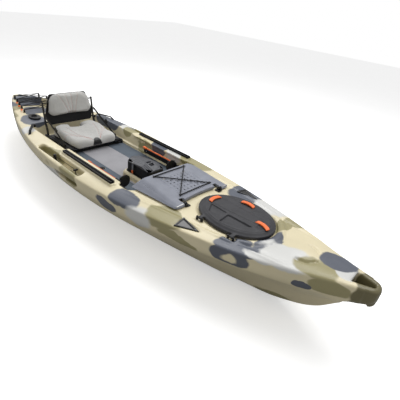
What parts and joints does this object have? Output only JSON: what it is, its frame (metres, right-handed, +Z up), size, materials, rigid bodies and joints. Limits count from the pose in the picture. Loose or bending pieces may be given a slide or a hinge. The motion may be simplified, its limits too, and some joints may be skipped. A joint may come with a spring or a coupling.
{
  "type": "kayak",
  "caption": "Sit-on-top fishing kayak: moulded hull, framed seat, bow hatch, console cover, drop-in pod, foot braces, gear tracks, tank well and keel wheel.",
  "frame": {"origin": "on the ground under the middle of the hull", "axes": "+X to the bow, +Y to port, +Z up"},
  "size_m": [3.505, 0.8732, 0.6018],
  "materials": {
    "camo_shell": "rotomoulded polyethylene, soft gloss, swirled camouflage colours",
    "lid_charcoal": "moulded lid, fine texture",
    "cover_grey": "moulded grey cover, satin",
    "black_moulding": "black nylon moulding",
    "gloss_black": "glossy black insert",
    "latch_orange": "orange moulding",
    "foam_light": "light grey foam sheet",
    "foam_slate": "slate foam sheet",
    "seal_rubber": "black rubber",
    "track_black": "black anodised",
    "screw_steel": "stainless",
    "latch_metal": "satin",
    "seat_fabric": "light grey upholstery, fine weave",
    "badge_black": "plain black badge",
    "webbing": "black webbing",
    "cord_black": "braided elastic cord",
    "frame_black": "black powder coat",
    "wheel_rubber": "black moulded rubber"
  },
  "bodies": {
    "hull": {"hull_bottom": "camo_shell", "deck_stern": "camo_shell", "deck_cockpit": "camo_shell", "deck_bow": "camo_shell", "floor_pad_centre": "foam_light", "floor_pads_side": "foam_slate", "scupper_plugs": "seal_rubber", "gear_track_port": "track_black", "gear_track_starboard": "track_black", "rail_screws": "screw_steel", "brace_rails": "black_moulding", "cover_hinge_brackets": "black_moulding", "cover_hinge_pins": "screw_steel", "hatch_hinge_brackets": "black_moulding", "hatch_hinge_pins": "screw_steel", "deck_inserts": "gloss_black", "carry_handles": "webbing", "rod_holders": "black_moulding", "paddle_cord": "cord_black", "paddle_hook": "black_moulding", "paddle_toggle": "black_moulding", "tank_cords": "cord_black", "tank_cord_hooks": "black_moulding", "stern_strips": "black_moulding", "strip_knobs": "latch_orange", "keel_axle": "screw_steel", "seat_base": "frame_black", "seat_base_pins": "screw_steel"},
    "drain_plug": {"drain_plug": "black_moulding"},
    "keel_wheel": {"keel_wheel": "wheel_rubber"},
    "pedal_port": {"foot_pedal_port": "black_moulding", "brace_adjuster_port": "latch_orange"},
    "pedal_starboard": {"foot_pedal_starboard": "black_moulding", "brace_adjuster_starboard": "latch_orange"},
    "pod": {"pod_body": "black_moulding", "pod_pins": "screw_steel"},
    "pod_lid": {"pod_lid": "cover_grey"},
    "pod_latch": {"pod_latch": "latch_metal", "pod_latch_tab": "latch_orange"},
    "console_cover": {"console_cover": "cover_grey", "cover_cord": "cord_black", "cord_anchors": "black_moulding"},
    "hatch_lid": {"hatch_lid": "lid_charcoal", "hatch_gasket": "seal_rubber"},
    "hatch_latch_aft": {"hatch_latch_aft": "latch_orange"},
    "hatch_latch_port": {"hatch_latch_port": "latch_orange"},
    "hatch_latch_front": {"hatch_latch_front": "latch_orange"},
    "seat_link_rear": {"seat_link_rear": "frame_black"},
    "seat_link_front": {"seat_link_front": "frame_black"},
    "seat_frame": {"seat_frame": "frame_black", "seat_pan": "black_moulding", "seat_frame_pins": "screw_steel", "seat_cushion": "seat_fabric", "seat_badge": "badge_black", "seat_straps": "webbing", "strap_buckles": "black_moulding", "strap_anchors": "black_moulding"},
    "seat_back": {"back_frame": "frame_black", "back_shell": "black_moulding", "back_pad": "seat_fabric"}
  },
  "joints": [
    {"name": "hatch_lid_hinge", "type": "hinge", "parent": "hull", "child": "hatch_lid", "pos_m": [0.981, -0.185, 0.358], "axis": [1, 0, 0], "range_deg": [0, 100]},
    {"name": "hatch_latch_aft_turn", "type": "hinge", "parent": "hatch_lid", "child": "hatch_latch_aft", "pos_m": [0.8121, 0.00412, 0.378], "axis": [0, 0, 1], "range_deg": [0, 90]},
    {"name": "hatch_latch_port_turn", "type": "hinge", "parent": "hatch_lid", "child": "hatch_latch_port", "pos_m": [0.9751, 0.11793, 0.378], "axis": [0, 0, 1], "range_deg": [0, 90]},
    {"name": "hatch_latch_front_turn", "type": "hinge", "parent": "hatch_lid", "child": "hatch_latch_front", "pos_m": [1.1499, 0.00412, 0.378], "axis": [0, 0, 1], "range_deg": [0, 90]},
    {"name": "console_cover_hinge", "type": "hinge", "parent": "hull", "child": "console_cover", "pos_m": [0.736, 0, 0.365], "axis": [0, 1, 0], "range_deg": [0, 80]},
    {"name": "pod_lift", "type": "slide", "parent": "hull", "child": "pod", "axis": [0, 0, 1], "range_m": [0, 0.16]},
    {"name": "pod_lid_hinge", "type": "hinge", "parent": "pod", "child": "pod_lid", "pos_m": [0.085, 0, 0.35], "axis": [0, -1, 0], "range_deg": [0, 95]},
    {"name": "pod_latch_hinge", "type": "hinge", "parent": "pod", "child": "pod_latch", "pos_m": [0.172, -0.071, 0.299], "axis": [1, 0, 0], "range_deg": [0, 60]},
    {"name": "pedal_port_slide", "type": "slide", "parent": "hull", "child": "pedal_port", "axis": [1, 0, 0], "range_m": [-0.16, 0.035]},
    {"name": "pedal_starboard_slide", "type": "slide", "parent": "hull", "child": "pedal_starboard", "axis": [1, 0, 0], "range_m": [-0.16, 0.035]},
    {"name": "keel_wheel_spin", "type": "hinge", "parent": "hull", "child": "keel_wheel", "pos_m": [-1.4425, 0, 0.064], "axis": [0, 1, 0], "continuous": true},
    {"name": "drain_plug_turn", "type": "hinge", "parent": "hull", "child": "drain_plug", "pos_m": [-1.6625, 0, 0.332], "axis": [0, 0, 1], "range_deg": [0, 90]},
    {"name": "seat_lift", "type": "hinge", "parent": "hull", "child": "seat_link_rear", "pos_m": [-0.62, 0, 0.27], "axis": [0, 1, 0], "range_deg": [0, 65]},
    {"name": "seat_level", "type": "hinge", "parent": "seat_link_rear", "child": "seat_frame", "pos_m": [-0.69825, 0, 0.28663], "axis": [0, 1, 0], "range_deg": [-65, 0]},
    {"name": "seat_link_front_swing", "type": "hinge", "parent": "hull", "child": "seat_link_front", "pos_m": [-0.42, 0, 0.27], "axis": [0, 1, 0], "range_deg": [0, 65]},
    {"name": "back_fold", "type": "hinge", "parent": "seat_frame", "child": "seat_back", "pos_m": [-0.71, 0, 0.28663], "axis": [0, 1, 0], "range_deg": [-12, 38]}
  ],
  "couplings": [
    {"joint": "seat_level", "follows": "seat_lift", "ratio": -1},
    {"joint": "seat_link_front_swing", "follows": "seat_lift", "ratio": 1}
  ]
}
